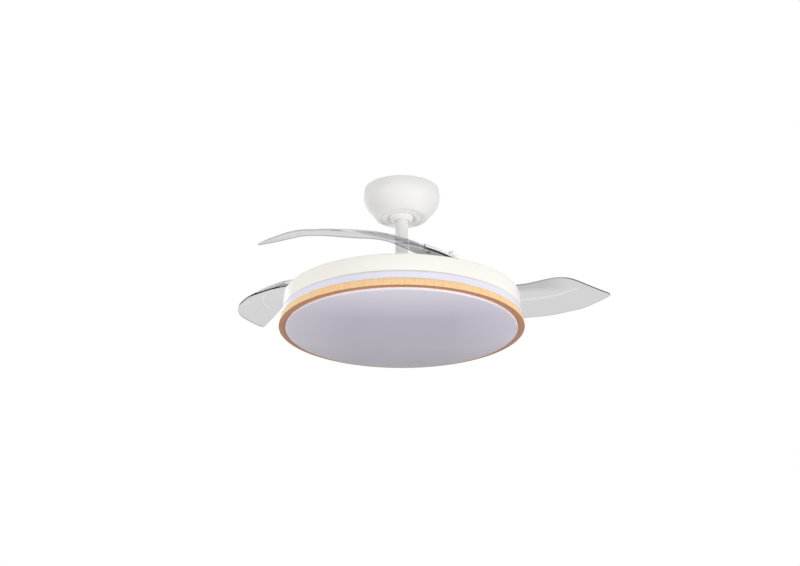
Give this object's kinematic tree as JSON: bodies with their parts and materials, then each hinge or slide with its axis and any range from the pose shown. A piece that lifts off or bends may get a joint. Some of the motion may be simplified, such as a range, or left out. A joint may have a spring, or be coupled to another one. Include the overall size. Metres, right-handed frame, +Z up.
{
  "type": "ceiling fan",
  "caption": "Ceiling fan with folding clear blades above a round light in a white drum with a pale wood ring, hung on a short white rod.",
  "frame": {"origin": "middle of the ceiling plate's upper face, where it meets the ceiling", "axes": "+Z up out of the ceiling plate, -Y towards the viewer of the picture, +X to that viewer's right"},
  "size_m": [0.8048, 0.583, 0.3329],
  "materials": {
    "white_paint": "satin",
    "drum_paint": "satin",
    "steel": "satin",
    "zinc": "matte",
    "cast_alloy": "matte",
    "laminations": "matte",
    "copper": "satin",
    "magnet": "matte",
    "white_plastic": "matte",
    "grey_plastic": "matte",
    "rubber": "matte",
    "smoked_clear": "gloss",
    "acrylic": "satin",
    "pale_wood": "satin",
    "opal": "satin",
    "circuit": "matte"
  },
  "bodies": {
    "ceiling_mount": {"ceiling_bracket": "zinc", "canopy": "white_paint", "canopy_trim_ring": "white_paint", "canopy_screw_1": "steel", "canopy_screw_2": "steel", "receiver": "white_plastic", "terminal_block": "grey_plastic"},
    "fan_body": {"hanger_ball": "white_plastic", "ball_cross_pin": "steel", "downrod": "white_paint", "rod_coupling": "cast_alloy", "coupling_pin": "steel", "coupling_set_screw": "steel", "motor_shaft": "steel", "stator_core": "laminations", "stator_winding": "copper", "upper_bearing": "steel", "lower_bearing": "steel", "drum_housing": "drum_paint", "shaft_nut": "steel", "light_tray": "zinc", "led_board": "circuit", "led_driver": "white_plastic"},
    "rotor": {"rotor_cover": "cast_alloy", "rotor_base": "cast_alloy", "magnet_ring": "magnet", "blade_plate": "cast_alloy", "plate_screw_1": "steel", "plate_screw_2": "steel", "plate_screw_3": "steel", "pivot_pin_right": "steel", "pivot_nut_right": "white_plastic", "return_spring_right": "steel", "stop_buffer_right": "rubber", "pivot_pin_left": "steel", "pivot_nut_left": "white_plastic", "return_spring_left": "steel", "stop_buffer_left": "rubber", "pivot_pin_front": "steel", "pivot_nut_front": "white_plastic", "return_spring_front": "steel", "stop_buffer_front": "rubber"},
    "blade_unit_right": {"blade_right": "smoked_clear", "blade_holder_right": "grey_plastic", "blade_cap_right": "white_plastic", "blade_screw_right": "steel"},
    "blade_unit_left": {"blade_left": "smoked_clear", "blade_holder_left": "grey_plastic", "blade_cap_left": "white_plastic", "blade_screw_left": "steel"},
    "blade_unit_front": {"blade_front": "smoked_clear", "blade_holder_front": "grey_plastic", "blade_cap_front": "white_plastic", "blade_screw_front": "steel"},
    "light_cover": {"cover_frame": "zinc", "acrylic_band": "acrylic", "wood_ring": "pale_wood", "diffuser": "opal"}
  },
  "joints": [
    {"name": "rod_swing", "type": "hinge", "parent": "ceiling_mount", "child": "fan_body", "pos_m": [0, 0, -0.048], "axis": [1, 0, 0], "range_deg": [-8, 8]},
    {"name": "rotor_spin", "type": "hinge", "parent": "fan_body", "child": "rotor", "pos_m": [0, 0, -0.2195], "axis": [0, 0, 1], "continuous": true},
    {"name": "blade_fold_right", "type": "hinge", "parent": "rotor", "child": "blade_unit_right", "pos_m": [0.06276, 0.15152, -0.2165], "axis": [0, 0, 1], "range_deg": [-82.4, 0], "stiffness_Nm_per_rad": 0.12, "springref_deg": -92.4},
    {"name": "blade_fold_left", "type": "hinge", "parent": "rotor", "child": "blade_unit_left", "pos_m": [-0.1626, -0.02141, -0.2165], "axis": [0, 0, 1], "range_deg": [-78.6, 3.8], "stiffness_Nm_per_rad": 0.12, "springref_deg": -88.6},
    {"name": "blade_fold_front", "type": "hinge", "parent": "rotor", "child": "blade_unit_front", "pos_m": [0.09984, -0.13011, -0.2165], "axis": [0, 0, 1], "range_deg": [-27.6, 54.8], "stiffness_Nm_per_rad": 0.12, "springref_deg": -37.6},
    {"name": "cover_twist", "type": "hinge", "parent": "fan_body", "child": "light_cover", "pos_m": [0, 0, -0.29], "axis": [0, 0, 1], "range_deg": [0, 14]}
  ]
}
